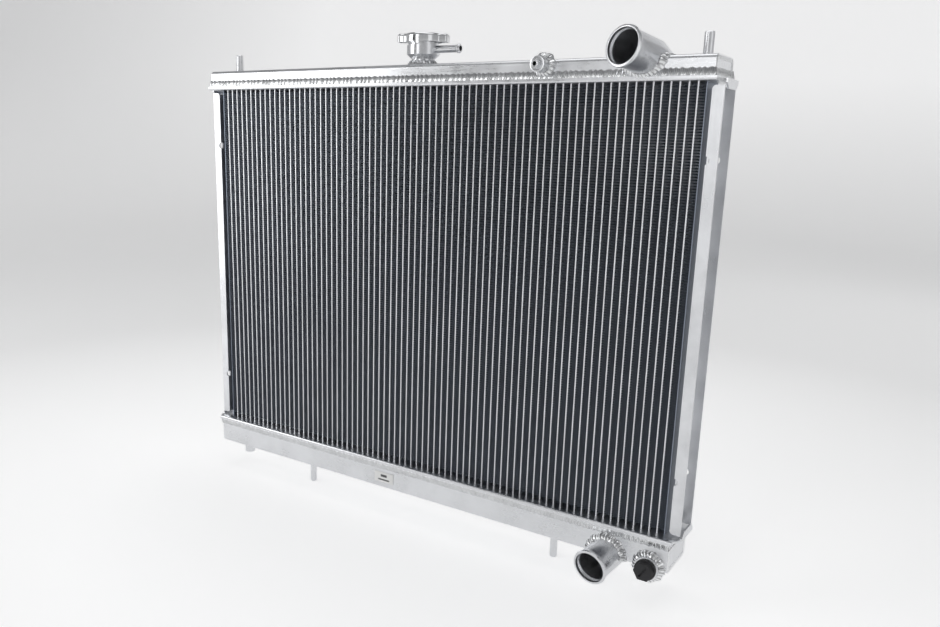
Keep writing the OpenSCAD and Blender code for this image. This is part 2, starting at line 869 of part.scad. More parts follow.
module outlet_weld() {
    color("gainsboro") difference() {
        intersection() {
            outlet_pipe(neck_r + neck_weld_w);
            lower_tank_form(weld_stand);
        }
        outlet_pipe(neck_r);
        lower_tank_form();
    }
}

module bleed_weld() {
    color("gainsboro") difference() {
        intersection() {
            bleed_cylinder(bleed_r + neck_weld_w);
            upper_tank_form(weld_stand);
        }
        bleed_cylinder(bleed_r);
        upper_tank_form();
    }
}

module drain_weld() {
    color("gainsboro") difference() {
        intersection() {
            drain_cylinder(drain_r + neck_weld_w);
            lower_tank_form(weld_stand);
        }
        drain_cylinder(drain_r);
        lower_tank_form();
    }
}

module filler_weld() {
    color("gainsboro") at_filler() rotate_extrude() polygon([
        [filler_base_r, 0], [filler_base_r + 5, 0], [filler_base_r + 2.5, 2],
        [filler_base_r, filler_cone_z - 1]
    ]);
}

// Fillet ring round the threaded boss's root
module threaded_boss_weld() {
    color("gainsboro") translate([-top_pin_x, pin_y, 0]) mirror([0, 0, 1]) rotate_extrude()
        polygon([[boss_r, 0], [boss_r + boss_weld, 0], [boss_r, boss_weld]]);
}

// ---------- Data plate ----------

module data_plate() {
    color("white") translate([label_x, -tank_d / 2 - label_size[1] / 2, label_z])
        cube(label_size, center = true);
}

upper_header();
lower_header();
upper_tank();
lower_tank();
upper_end_plate_left();
upper_end_plate_right();
lower_end_plate_left();
lower_end_plate_right();
front_tube_row();
rear_tube_row();
fin_strips();
end_sheet_left();
end_sheet_right();
side_channel_left();
side_channel_right();
filler_neck();
overflow_nipple();
inlet_neck();
outlet_neck();
bleed_boss();
bleed_nipple();
drain_boss();
lower_threaded_boss();
top_pin_left();
top_pin_right();
bottom_pin_left();
bottom_pin_right();
upper_seam_weld();
lower_seam_weld();
upper_end_welds();
lower_end_welds();
inlet_weld();
outlet_weld();
bleed_weld();
drain_weld();
filler_weld();
threaded_boss_weld();
data_plate();
cap_shell();
cap_rivet();
cap_diaphragm();
cap_gasket();
cap_valve_cage();
pressure_spring();
pressure_plate();
pressure_seal();
vacuum_valve();
vacuum_clip();
vacuum_spring();
drain_plug();
drain_seal();
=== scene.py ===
"""Looks of the car radiator: materials, weld beads, fins, hose necks, cap, light and camera."""

import json
import math

import bmesh
import bpy
import numpy as np
from mathutils import Matrix, Vector


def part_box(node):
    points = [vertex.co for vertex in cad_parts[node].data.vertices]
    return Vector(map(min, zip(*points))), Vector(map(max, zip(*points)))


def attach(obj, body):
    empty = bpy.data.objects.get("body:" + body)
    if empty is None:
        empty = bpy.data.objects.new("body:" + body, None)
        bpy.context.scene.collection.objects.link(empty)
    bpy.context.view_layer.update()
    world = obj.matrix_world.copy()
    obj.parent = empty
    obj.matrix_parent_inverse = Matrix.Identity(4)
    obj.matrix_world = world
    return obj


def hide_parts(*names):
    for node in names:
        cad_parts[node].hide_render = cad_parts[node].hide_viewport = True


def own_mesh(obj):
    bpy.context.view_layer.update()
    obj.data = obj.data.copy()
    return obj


MM = 0.001

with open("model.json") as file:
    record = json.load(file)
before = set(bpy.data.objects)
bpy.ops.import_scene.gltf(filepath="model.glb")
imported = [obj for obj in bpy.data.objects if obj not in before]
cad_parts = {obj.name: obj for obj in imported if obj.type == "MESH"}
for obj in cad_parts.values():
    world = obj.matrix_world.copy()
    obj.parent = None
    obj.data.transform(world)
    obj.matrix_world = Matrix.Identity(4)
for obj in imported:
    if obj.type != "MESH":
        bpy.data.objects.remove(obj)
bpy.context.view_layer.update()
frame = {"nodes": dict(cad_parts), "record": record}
nodes = frame["nodes"]


def mm_box(node):
    low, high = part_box(node)
    return np.array(low) / MM, np.array(high) / MM


# ---------- Places, read from the frame (mm) ----------

UPPER_TANK = mm_box("upper_tank")
LOWER_TANK = mm_box("lower_tank")
UPPER_HEADER = mm_box("upper_header")
FINS = mm_box("fin_strips")
HALF_X = UPPER_TANK[1][0]
HALF_Y = UPPER_TANK[1][1]
TOP_Z = UPPER_TANK[1][2]
FOLD_R = 5.0
SEAM_W = 2.7
SEAM_H = 7.8
UPPER_LIP_Z = mm_box("upper_seam_weld")[0][2]
LOWER_LIP_Z = mm_box("lower_seam_weld")[1][2]

FILLER = (mm_box("filler_weld")[0] + mm_box("filler_weld")[1]) / 2


# ---------- Mesh helpers ----------

def new_object(name, verts, faces, material, smooth=True):
    """A mesh object from points in millimetres."""
    mesh = bpy.data.meshes.new(name)
    mesh.from_pydata([tuple(float(c) * MM for c in v) for v in verts], [], faces)
    mesh.validate()
    bm = bmesh.new()
    bm.from_mesh(mesh)
    bmesh.ops.recalc_face_normals(bm, faces=bm.faces)
    bm.to_mesh(mesh)
    bm.free()
    mesh.polygons.foreach_set("use_smooth", [smooth] * len(mesh.polygons))
    mesh.materials.append(material)
    piece = bpy.data.objects.new(name, mesh)
    bpy.context.scene.collection.objects.link(piece)
    return piece


def piece(name, parts, material, slot, body="root", replaces=(), smooth=True, sharp=None):
    """Joins (points, faces) parts into one piece that rides on a body and stands for CAD nodes."""
    verts, faces, tones = [], [], []
    for part_verts, part_faces, *part_tones in parts:
        base = len(verts)
        tones.extend(part_tones[0] if part_tones else [0.0] * len(part_verts))
        verts.extend(part_verts)
        faces.extend([tuple(base + i for i in face) for face in part_faces])
    made = new_object(name, verts, faces, material, smooth)
    # painted shade: per-point values that darken a weld bead between its scallops and along its edge
    if any(tones):
        painted_shade = made.data.attributes.new("painted_shade", "FLOAT", "POINT")
        painted_shade.data.foreach_set("value", np.array(tones, np.float32))
    if sharp is not None:
        made.data.set_sharp_from_angle(angle=math.radians(sharp))
    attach(made, body)
    if replaces:
        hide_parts(*replaces)
    return made


def grid_faces(rows, cols, close_rows=False, close_cols=False):
    """Quads of a rows x cols grid of points, wrapped round where asked."""
    faces = []
    for i in range(rows if close_rows else rows - 1):
        for j in range(cols if close_cols else cols - 1):
            a, b = i * cols, (i + 1) % rows * cols
            k = (j + 1) % cols
            faces.append((a + j, b + j, b + k, a + k))
    return faces


def swept(rings, closed):
    """A solid through equal closed rings of points; open sweeps get flat ends."""
    rows, cols = len(rings), len(rings[0])
    verts = [point for ring in rings for point in ring]
    faces = grid_faces(rows, cols, close_rows=closed, close_cols=True)
    if not closed:
        faces.append(tuple(range(cols)))
        faces.append(tuple(reversed(range((rows - 1) * cols, rows * cols))))
    return verts, faces


# ---------- Materials ----------

def node_material(name, base, metallic, roughness):
    material = bpy.data.materials.new(name)
    material.use_nodes = True
    shader = material.node_tree.nodes["Principled BSDF"]
    shader.inputs["Base Color"].default_value = (*base, 1)
    shader.inputs["Metallic"].default_value = metallic
    shader.inputs["Roughness"].default_value = roughness
    return material, shader


def noise(tree, coords, stretch, scale, detail=4.0, rough=0.55):
    """A noise texture over the object's own metres, stretched along an axis."""
    mapping = tree.nodes.new("ShaderNodeMapping")
    mapping.inputs["Scale"].default_value = stretch
    tree.links.new(coords, mapping.inputs["Vector"])
    texture = tree.nodes.new("ShaderNodeTexNoise")
    texture.inputs["Scale"].default_value = scale
    texture.inputs["Detail"].default_value = detail
    texture.inputs["Roughness"].default_value = rough
    tree.links.new(mapping.outputs["Vector"], texture.inputs["Vector"])
    return texture.outputs["Fac"]


def ranged(tree, source, low, high, from_low=0.3, from_high=0.7):
    """Maps a socket's values from one range onto another."""
    node = tree.nodes.new("ShaderNodeMapRange")
    node.inputs["From Min"].default_value = from_low
    node.inputs["From Max"].default_value = from_high
    node.inputs["To Min"].default_value = low
    node.inputs["To Max"].default_value = high
    tree.links.new(source, node.inputs["Value"])
    return node.outputs["Result"]


def mixed(tree, factor, first, second):
    """A colour mix of two fixed colours."""
    node = tree.nodes.new("ShaderNodeMix")
    node.data_type = "RGBA"
    node.inputs[6].default_value = (*first, 1)
    node.inputs[7].default_value = (*second, 1)
    tree.links.new(factor, node.inputs[0])
    return node.outputs[2]


def blended(tree, factor, first, second):
    """A float mix of two sockets."""
    node = tree.nodes.new("ShaderNodeMix")
    for source, target in zip((factor, first, second), (0, 2, 3)):
        tree.links.new(source, node.inputs[target])
    return node.outputs[0]


def worn_metal(name, base, roughness, grain, grain_scale=60, bump=0.15, cloud=0.12,
               cloud_scale=25, spread=0.12):
    """Bare metal: fine grain along one axis, cloudy tone and roughness, light scuffs."""
    material, shader = node_material(name, base, 1.0, roughness)
    tree = material.node_tree
    coords = tree.nodes.new("ShaderNodeTexCoord").outputs["Object"]
    clouds = noise(tree, coords, (1, 1, 1), cloud_scale, detail=5)
    brushed = noise(tree, coords, grain, grain_scale, detail=7, rough=0.7)
    darker = tuple(c * (1 - cloud) for c in base)
    tone = ranged(tree, clouds, 0, 1, 0.35, 0.65)
    tree.links.new(mixed(tree, tone, darker, base), shader.inputs["Base Color"])
    add = tree.nodes.new("ShaderNodeMath")
    add.operation = "ADD"
    tree.links.new(ranged(tree, brushed, -spread / 2, spread / 2), add.inputs[0])
    tree.links.new(ranged(tree, clouds, roughness - spread / 2, roughness + spread / 2), add.inputs[1])
    tree.links.new(add.outputs[0], shader.inputs["Roughness"])
    height = tree.nodes.new("ShaderNodeBump")
    height.inputs["Strength"].default_value = bump
    height.inputs["Distance"].default_value = 0.0002
    tree.links.new(brushed, height.inputs["Height"])
    tree.links.new(height.outputs["Normal"], shader.inputs["Normal"])
    return material


def soft_surface(name, base, roughness, scale, bump, speckle=0.2, metallic=0.0):
    """Moulded plastic, rubber, coating or foil: fine speckle in tone, roughness and height."""
    material, shader = node_material(name, base, metallic, roughness)
    tree = material.node_tree
    coords = tree.nodes.new("ShaderNodeTexCoord").outputs["Object"]
    grain = noise(tree, coords, (1, 1, 1), scale, detail=6)
    lighter = tuple(min(1, c * (1 + speckle) + 0.01 * speckle) for c in base)
    tree.links.new(mixed(tree, grain, base, lighter), shader.inputs["Base Color"])
    rough = ranged(tree, grain, roughness * 0.8, min(1, roughness * 1.2))
    tree.links.new(rough, shader.inputs["Roughness"])
    height = tree.nodes.new("ShaderNodeBump")
    height.inputs["Strength"].default_value = bump
    height.inputs["Distance"].default_value = 0.0002
    tree.links.new(grain, height.inputs["Height"])
    tree.links.new(height.outputs["Normal"], shader.inputs["Normal"])
    return material


ALONG_X = (0.06, 1, 1)
ALONG_Z = (1, 1, 0.06)
EVEN = (1, 1, 1)

TANK = worn_metal("tank_sheet", (0.86, 0.87, 0.89), 0.30, ALONG_X, 900, bump=0.10, cloud=0.10)
HEADER = worn_metal("header_sheet", (0.84, 0.85, 0.87), 0.30, ALONG_X, 900, bump=0.12)
CHANNEL = worn_metal("channel_sheet", (0.84, 0.85, 0.87), 0.34, ALONG_Z, 900, bump=0.12, cloud=0.16)
TUBE = worn_metal("tube_metal", (0.95, 0.96, 0.98), 0.34, ALONG_Z, 700, bump=0.10, cloud=0.15)
TURNED = worn_metal("turned_metal", (0.83, 0.84, 0.86), 0.27, EVEN, 1400, bump=0.10)
WELD = worn_metal("weld_metal", (0.92, 0.93, 0.94), 0.22, EVEN, 1800, bump=0.20, cloud=0.12)


def add_painted_shade(material):
    """Paints shade onto a bead where its mesh says so: darker between the scallops and along its edge, in
    patches.
    """
    tree = material.node_tree
    shader = tree.nodes["Principled BSDF"]
    mark = tree.nodes.new("ShaderNodeAttribute")
    mark.attribute_name = "painted_shade"
    coords = tree.nodes.new("ShaderNodeTexCoord").outputs["Object"]
    # the painted shade is broken into patches by noise
    patchy = ranged(tree, noise(tree, coords, EVEN, 120, detail=3), 0.45, 1.0)
    amount = tree.nodes.new("ShaderNodeMath")
    amount.operation = "MULTIPLY"
    tree.links.new(mark.outputs["Fac"], amount.inputs[0])
    tree.links.new(patchy, amount.inputs[1])
    old = shader.inputs["Base Color"].links[0].from_socket
    mix = tree.nodes.new("ShaderNodeMix")
    mix.data_type = "RGBA"
    tree.links.new(amount.outputs[0], mix.inputs[0])
    tree.links.new(old, mix.inputs[6])
    # colour of the painted shade
    mix.inputs[7].default_value = (0.05, 0.05, 0.06, 1)
    tree.links.new(mix.outputs[2], shader.inputs["Base Color"])


# weld beads get painted shade in their valleys and along their edge
add_painted_shade(WELD)
CAP = worn_metal("cap_plate", (0.86, 0.87, 0.88), 0.14, EVEN, 1200, bump=0.05, spread=0.08)
SPRING = worn_metal("spring_wire", (0.62, 0.63, 0.65), 0.30, EVEN, 2000)
BRASS = worn_metal("brass", (0.78, 0.62, 0.32), 0.28, EVEN, 1600)
# painted shade: the fin foil gets a dark blue-grey colour that stands in for the deep shade inside the core;
# bare aluminium foil is much lighter
FIN_FOIL_SHADED = soft_surface("fin_foil", (0.20, 0.225, 0.27), 0.36, 1500, 0.2, speckle=0.5, metallic=0.7)
PLASTIC = soft_surface("black_plastic", (0.008, 0.008, 0.010), 0.46, 2500, 0.15, speckle=0.5)
RUBBER = soft_surface("seal_rubber", (0.02, 0.02, 0.022), 0.7, 2500, 0.3, speckle=0.4)
COATING = soft_surface("plate_coating", (0.82, 0.82, 0.81), 0.35, 1500, 0.08, speckle=0.06)



def add_plate_marks(material, centre):
    """Two plain dark bars printed on the blank data plate."""
    tree = material.node_tree
    shader = tree.nodes["Principled BSDF"]
    split = tree.nodes.new("ShaderNodeSeparateXYZ")
    tree.links.new(tree.nodes.new("ShaderNodeNewGeometry").outputs["Position"], split.inputs[0])
    printed = None
    for dx, dz, half_x, half_z in ((0, 2.2, 5.0, 1.7), (0, -3.4, 9.0, 1.0)):
        inside = []
        for channel, middle, half in (("X", centre[0] + dx, half_x), ("Z", centre[2] + dz, half_z)):
            test = tree.nodes.new("ShaderNodeMath")
            test.operation = "COMPARE"
            tree.links.new(split.outputs[channel], test.inputs[0])
            test.inputs[1].default_value = middle * MM
            test.inputs[2].default_value = half * MM
            inside.append(test.outputs[0])
        both = tree.nodes.new("ShaderNodeMath")
        both.operation = "MULTIPLY"
        tree.links.new(inside[0], both.inputs[0])
        tree.links.new(inside[1], both.inputs[1])
        if printed is None:
            printed = both.outputs[0]
        else:
            join = tree.nodes.new("ShaderNodeMath")
            join.operation = "MAXIMUM"
            tree.links.new(printed, join.inputs[0])
            tree.links.new(both.outputs[0], join.inputs[1])
            printed = join.outputs[0]
    old = shader.inputs["Base Color"].links[0].from_socket
    mix = tree.nodes.new("ShaderNodeMix")
    mix.data_type = "RGBA"
    tree.links.new(printed, mix.inputs[0])
    tree.links.new(old, mix.inputs[6])
    mix.inputs[7].default_value = (0.08, 0.08, 0.085, 1)
    tree.links.new(mix.outputs[2], shader.inputs["Base Color"])


add_plate_marks(COATING, (mm_box("data_plate")[0] + mm_box("data_plate")[1]) / 2)

NODE_MATERIALS = {
    "mill_sheet": HEADER, "tank_sheet": TANK, "tube_metal": TUBE, "fin_foil": FIN_FOIL_SHADED,
    "channel_metal": CHANNEL, "turned_metal": TURNED, "weld_metal": WELD,
    "plate_coating": COATING, "cap_steel": CAP, "spring_steel": SPRING, "brass": BRASS,
    "seal_rubber": RUBBER, "black_plastic": PLASTIC,
}

for row in frame["record"]["subparts"]:
    cad = nodes[row["node"]]
    cad.data.materials.clear()
    cad.data.materials.append(NODE_MATERIALS[row["material_slot"]])


# ---------- Fins ----------

def fin_part(centre_x, half, z0, z1, period, sheet, front, back):
    """One corrugated strip as a thin closed sheet, folded up the height of the core."""
    folds = int((z1 - z0) / (period / 2))
    leg = (z1 - z0 - sheet) / folds
    crest = 0.26 * leg
    line = []
    for i in range(folds):
        side = -1 if i % 2 == 0 else 1
        line.append((centre_x + side * half, z0 + i * leg + crest / 2))
        line.append((centre_x - side * half, z0 + (i + 1) * leg - crest / 2))
    low = [(x, front, z) for x, z in line] + [(x, back, z) for x, z in line]
    high = [(x, front, z + sheet) for x, z in line] + [(x, back, z + sheet) for x, z in line]
    n = len(line)
    faces = []
    for i in range(n - 1):
        j = i + 1
        faces.append((i, j, n + j, n + i))
        faces.append((2 * n + i, 3 * n + i, 3 * n + j, 2 * n + j))
        faces.append((i, 2 * n + i, 2 * n + j, j))
        faces.append((n + i, n + j, 3 * n + j, 3 * n + i))
    faces.append((0, n, 3 * n, 2 * n))
    faces.append((n - 1, 3 * n - 1, 4 * n - 1, 2 * n - 1))
    return low + high, faces


def make_fins():
    strips = 75
    strip_w = 7.2
    pitch = (FINS[1][0] - FINS[0][0] - strip_w) / (strips - 1)
    groups = 3
    for g in range(groups):
        parts = []
        for i in range(g * strips // groups, (g + 1) * strips // groups):
            x = FINS[0][0] + strip_w / 2 + i * pitch
            parts.append(fin_part(x, strip_w / 2, FINS[0][2] + 1.5, FINS[1][2], 2.9, 0.16,
                                  FINS[0][1], FINS[1][1]))
            # painted shade, partly flux residue: short dense strips of the dark fin foil fill the gaps
            # between the core's fins and the header plates, so these gaps read dark
            for z0, z1 in ((FINS[0][2] - 2.8, FINS[0][2] + 1.3), (FINS[1][2] + 0.2, FINS[1][2] + 2.8)):
                parts.append(fin_part(x, strip_w / 2, z0, z1, 1.6, 0.12, FINS[0][1] + 7, FINS[1][1]))
        name = "fins_" + ("left", "middle", "right")[g]
        piece(name, parts, FIN_FOIL_SHADED, "fin_foil", replaces=["fin_strips"], smooth=False)


# ---------- Weld beads ----------

def ripple(s, pitch):
    """Height of one laid-over scallop: steep at its start, easing down to the next."""
    u = (s / pitch) % 1.0
    return (1 - u) ** 1.4 * min(1.0, u / 0.16)


def bead(path, along_wall, along_neck, width, height, closed, pitch=2.8, amp=0.45,
         puff=1.45, skew=1.6, steps=8, wobble=0.12):
    """A rippled fillet. At each path point it spans from width along one surface to height
    along the other, a little puffed out, with the curved scallops of a hand-laid weld."""
    path = np.array(path, float)
    a, b = np.array(along_wall, float), np.array(along_neck, float)
    hops = np.linalg.norm(np.diff(path, axis=0), axis=1)
    s = np.concatenate([[0], np.cumsum(hops)])
    total = s[-1] + (np.linalg.norm(path[0] - path[-1]) if closed else 0)
    pitch = total / max(1, round(total / pitch)) if closed else pitch
    rings, painted_shade = [], []
    for i, p in enumerate(path):
        outward = a[i] + b[i]
        outward = outward / np.linalg.norm(outward)
        sway = 1 + wobble * math.sin(s[i] * 0.9 + 1.3 * math.sin(s[i] * 0.23))
        ring = [p - 0.5 * a[i] - 0.5 * b[i]]
        painted_shade.append(0.0)
        for k in range(steps + 1):
            t = k / steps
            c, d = math.cos(t * math.pi / 2) ** puff, math.sin(t * math.pi / 2) ** puff
            mound = math.sin(math.pi * t)
            lift = amp * mound * (ripple(s[i] - skew * mound, pitch) - 0.35)
            ring.append(p + a[i] * width * c * sway + b[i] * height * d * sway + outward * lift)
            # painted shade: each point gets a darkening value, strong in the valleys between scallops and, in
            # patches, along the edge where the bead meets the second surface
            u = ((s[i] - skew * mound) / pitch) % 1.0
            valley = max(0.0, 1 - min(u, 1 - u) / 0.32)
            broken = max(0.0, math.sin(s[i] * 0.37 + 2.1 * math.sin(s[i] * 0.11)) + 0.25)
            edge = max(0.0, 1 - (1 - t) * steps / 1.6) * min(1.0, broken * 1.6)
            painted_shade.append(min(1.0, valley * (0.4 + 0.6 * mound) + 0.95 * edge))
        rings.append(ring)
    verts, faces = swept(rings, closed)
    return verts, faces, painted_shade


def resampled(points, step, closed):
    """Points about step apart along a polyline."""
    points = [np.array(p, float) for p in points]
    if closed:
        points.append(points[0])
    out = []
    for p, q in zip(points, points[1:]):
        count = max(1, int(round(np.linalg.norm(q - p) / step)))
        out.extend(p + (q - p) * i / count for i in range(count))
    if not closed:
        out.append(points[-1])
    return out


def seam(z, up, stretches):
    """Fillets round a tank at height z, built up towards up (+1 or -1)."""
    parts = []
    for start, stop, side in stretches:
        path = resampled([start, stop], 0.32, closed=False)
        path = [(p[0], p[1], z) for p in path]
        n = len(path)
        parts.append(bead(path, [side] * n, [(0, 0, up)] * n, SEAM_W, SEAM_H, closed=False,
                          pitch=1.9, amp=0.34, puff=1.55, skew=2.2, wobble=0.07))
    return parts


def make_seams():
    x, y = HALF_X, HALF_Y
    ends = [((x, -y - 1.2, 0), (x, y + 1.2, 0), (1, 0, 0)), ((-x, y + 1.2, 0), (-x, -y - 1.2, 0), (-1, 0, 0))]
    rear = [((x + 1.2, y, 0), (-x - 1.2, y, 0), (0, 1, 0))]
    front_whole = [((-x - 1.2, -y, 0), (x + 1.2, -y, 0), (0, -1, 0))]
    piece("upper_seam_bead", seam(UPPER_LIP_Z, 1, front_whole + rear + ends), WELD,
          "weld_metal", replaces=["upper_seam_weld"])
    piece("lower_seam_bead", seam(LOWER_LIP_Z, -1, front_whole + rear + ends), WELD,
          "weld_metal", replaces=["lower_seam_weld"])


def end_bead(tank, side, lip_z, up):
    """The bead on a tank's end: down one corner, along the fold and up the other."""
    w = 2.5
    y = HALF_Y - w
    far = tank[1][2] - w if up > 0 else tank[0][2] + w
    r = 4.0
    corner = [(y - r + r * math.cos(t), far - up * r + up * r * math.sin(t))
              for t in np.linspace(0, math.pi / 2, 8)]
    line = [(y, lip_z + up * 7)] + corner + [(-p[0], p[1]) for p in reversed(corner)] + [(-y, lip_z + up * 7)]
    path = resampled([(side * HALF_X, p[0], p[1]) for p in line], 0.42, closed=False)
    path = np.array(path)
    tangent = np.gradient(path, axis=0)
    tangent /= np.linalg.norm(tangent, axis=1)[:, None]
    outward = np.array([side, 0, 0])
    across = np.cross(tangent, outward)
    rings = []
    s = np.concatenate([[0], np.cumsum(np.linalg.norm(np.diff(path, axis=0), axis=1))])
    for i, p in enumerate(path):
        ring = []
        for k in range(11):
            t = math.pi * k / 10
            mound = math.sin(t)
            lift = 0.75 * mound + 0.35 * mound * ripple(s[i] - 1.6 * mound, 2.6)
            ring.append(p + across[i] * w * math.cos(t) + outward * lift)
        ring.append(p - outward * 0.4)
        rings.append(ring)
    return swept(rings, closed=False)


def make_end_beads():
    piece("upper_end_beads", [end_bead(UPPER_TANK, s, UPPER_LIP_Z, 1) for s in (-1, 1)], WELD,
          "weld_metal", replaces=["upper_end_welds"])
    piece("lower_end_beads", [end_bead(LOWER_TANK, s, LOWER_LIP_Z, -1) for s in (-1, 1)], WELD,
          "weld_metal", replaces=["lower_end_welds"])


def ring_bead(centre, axis, radius, width, height, **style):
    """A fillet round an upright or level cylinder that stands square on a flat wall."""
    z = np.array(axis, float)
    x = np.array([1.0, 0, 0])
    y = np.cross(z, x)
    count = max(60, int(2 * math.pi * radius / 0.35))
    outs = [math.cos(2 * math.pi * i / count) * x + math.sin(2 * math.pi * i / count) * y
            for i in range(count)]
    path = [np.array(centre) + radius * o for o in outs]
    return bead(path, outs, [z] * count, width, height, closed=True, **style)


def tank_distance(p, upper):
    """Signed distance from a tank's outer form, seen along X (mm)."""
    if upper:
        low, high = UPPER_TANK[0][2] - 40, TOP_Z
    else:
        low, high = LOWER_TANK[0][2], LOWER_TANK[1][2] + 40
    cz, hz = (low + high) / 2, (high - low) / 2
    qy = abs(p[1]) - (HALF_Y - FOLD_R)
    qz = abs(p[2] - cz) - (hz - FOLD_R)
    return math.hypot(max(qy, 0), max(qz, 0)) + min(max(qy, qz), 0) - FOLD_R


def tank_normal(p, upper):
    h = 0.01
    q = np.array([0, tank_distance(p + [0, h, 0], upper) - tank_distance(p - [0, h, 0], upper),
                  tank_distance(p + [0, 0, h], upper) - tank_distance(p - [0, 0, h], upper)])
    return q / np.linalg.norm(q)


class Neck:
    """A two-section mitred pipe from its mouth back into a tank (mm)."""

    def __init__(self, mouth, yaw, pitch, length, upper, radius):
        self.mouth = np.array(mouth, float)
        self.upper = upper
        self.radius = radius
        self.first = self.direction(yaw, pitch[0])
        self.second = self.direction(yaw, pitch[1])
        self.bend = self.mouth + length * self.first
        cut = self.direction(yaw, (pitch[0] + pitch[1]) / 2)
        self.cut = cut
        self.side = np.cross(self.first, [0, 0, 1])
        self.side /= np.linalg.norm(self.side)

    @staticmethod
    def direction(yaw, pitch):
        y, p = math.radians(yaw), math.radians(pitch)
        return np.array([math.sin(y) * math.cos(p), math.cos(y) * math.cos(p), -math.sin(p)])

    def line(self, angle, radius):
        """Start, turning point and the two directions of one line along the pipe's wall."""
        up1 = np.cross(self.side, self.first)
        up2 = np.cross(self.side, self.second)
        radial1 = math.cos(angle) * self.side + math.sin(angle) * up1
        radial2 = math.cos(angle) * self.side + math.sin(angle) * up2
        start = self.mouth + radius * radial1
        reach = np.dot(self.bend - start, self.cut) / np.dot(self.first, self.cut)
        turn = start + reach * self.first
        return start, turn, reach, radial1, radial2

    def point(self, angle, s, radius):
        start, turn, reach, radial1, radial2 = self.line(angle, radius)
        if s <= reach:
            return start + s * self.first, self.first, radial1
        return turn + (s - reach) * self.second, self.second, radial2

    def meets(self, angle, radius, depth=0.0):
        """Length along the wall to where it reaches the tank's surface, or depth inside it."""
        s = 20.0
        while s < 130 and tank_distance(self.point(angle, s, radius)[0], self.upper) > -depth:
            s += 0.5
        low, high = s - 0.5, s
        for _ in range(12):
            middle = (low + high) / 2
            if tank_distance(self.point(angle, middle, radius)[0], self.upper) > -depth:
                low = middle
            else:
                high = middle
        return high


NECK_R = 19.0
NECK_WALL = 2.5
NECK_BEAD_R = 20.75
INLET = Neck((266, -62.5, TOP_Z + 6.4), 16, (10, 29), 47, True, NECK_R)
OUTLET = Neck((271, -62.5, -2), 9, (-9, -35), 47, False, NECK_R)


def neck_mesh(neck):
    """Pipe with a rolled bead at the mouth, a rounded lip and its bore."""
    swell = NECK_BEAD_R - NECK_R
    outer = [(-1.15, 0.2), (-0.8, 0.0), (-0.1, 0.0), (swell * 0.75, 0.6)]
    outer += [(swell * math.cos(t), 2.2 + 1.6 * math.sin(t)) for t in np.linspace(-0.7, 1.2, 7)]
    outer += [(swell * 0.12, 4.4), (0, 5.2), (0, 7)]
    groove = [(7.0, 0), (5.6, 0.3), (4.6, 1.2), (3.4, 1.7), (1.8, 1.7), (0.8, 1.4)]
    count = 120
    rings = []
    for i in range(count):
        angle = 2 * math.pi * i / count
        end = neck.meets(angle, NECK_R, 1.0)
        reach = neck.line(angle, NECK_R)[2]
        far = [7 + (min(reach, end) - 7) * k / 4 for k in range(1, 5)]
        if end > reach + 0.3:
            far += [reach + (end - reach) * k / 4 for k in range(1, 5)]
        else:
            far += [end] * 4
        ring = [neck.point(angle, s, NECK_R + r)[0] for r, s in outer]
        ring += [neck.point(angle, s, NECK_R)[0] for s in far]
        inner_r = NECK_R - NECK_WALL
        inner_end = neck.meets(angle, inner_r, 1.0)
        reach = neck.line(angle, inner_r)[2]
        bends = sorted([min(inner_end, reach - 1.0), min(inner_end, reach), min(inner_end, reach + 1.0)])
        inside = [inner_end] + bends[::-1] + [min(inner_end, reach) * 0.5]
        ring += [neck.point(angle, s, inner_r)[0] for s in inside]
        ring += [neck.point(angle, s, inner_r + r)[0] for s, r in groove]
        rings.append(ring)
    return swept(rings, closed=True)


def neck_fillet(neck, spans, width, height, **style):
    """Weld round a neck over some spans of angle, in degrees; the whole way if it is a turn."""
    parts = []
    for low, high in spans:
        whole = high - low >= 360
        count = int(NECK_R * math.radians(high - low) / 0.35)
        path, walls, necks = [], [], []
        for i in range(count if whole else count + 1):
            angle = math.radians(low + (high - low) * i / count)
            s = neck.meets(angle, NECK_R)
            p, along, radial = neck.point(angle, s, NECK_R)
            n = tank_normal(p, neck.upper)
            wall = radial - np.dot(radial, n) * n
            path.append(p)
            walls.append(wall / np.linalg.norm(wall))
            necks.append(-along)
        parts.append(bead(path, walls, necks, width, height, closed=whole, **style))
    return parts


def make_necks():
    piece("inlet_neck_pipe", [neck_mesh(INLET)], TURNED, "turned_metal", replaces=["inlet_neck"], sharp=50)
    piece("outlet_neck_pipe", [neck_mesh(OUTLET)], TURNED, "turned_metal", replaces=["outlet_neck"], sharp=50)
    piece("inlet_bead", neck_fillet(INLET, [(0, 360)], 5.2, 4.8, pitch=3.3, amp=1.0), WELD,
          "weld_metal", replaces=["inlet_weld"])
    piece("outlet_bead", neck_fillet(OUTLET, [(0, 360)], 5.8, 5.2, pitch=3.0, amp=1.1), WELD,
          "weld_metal", replaces=["outlet_weld"])


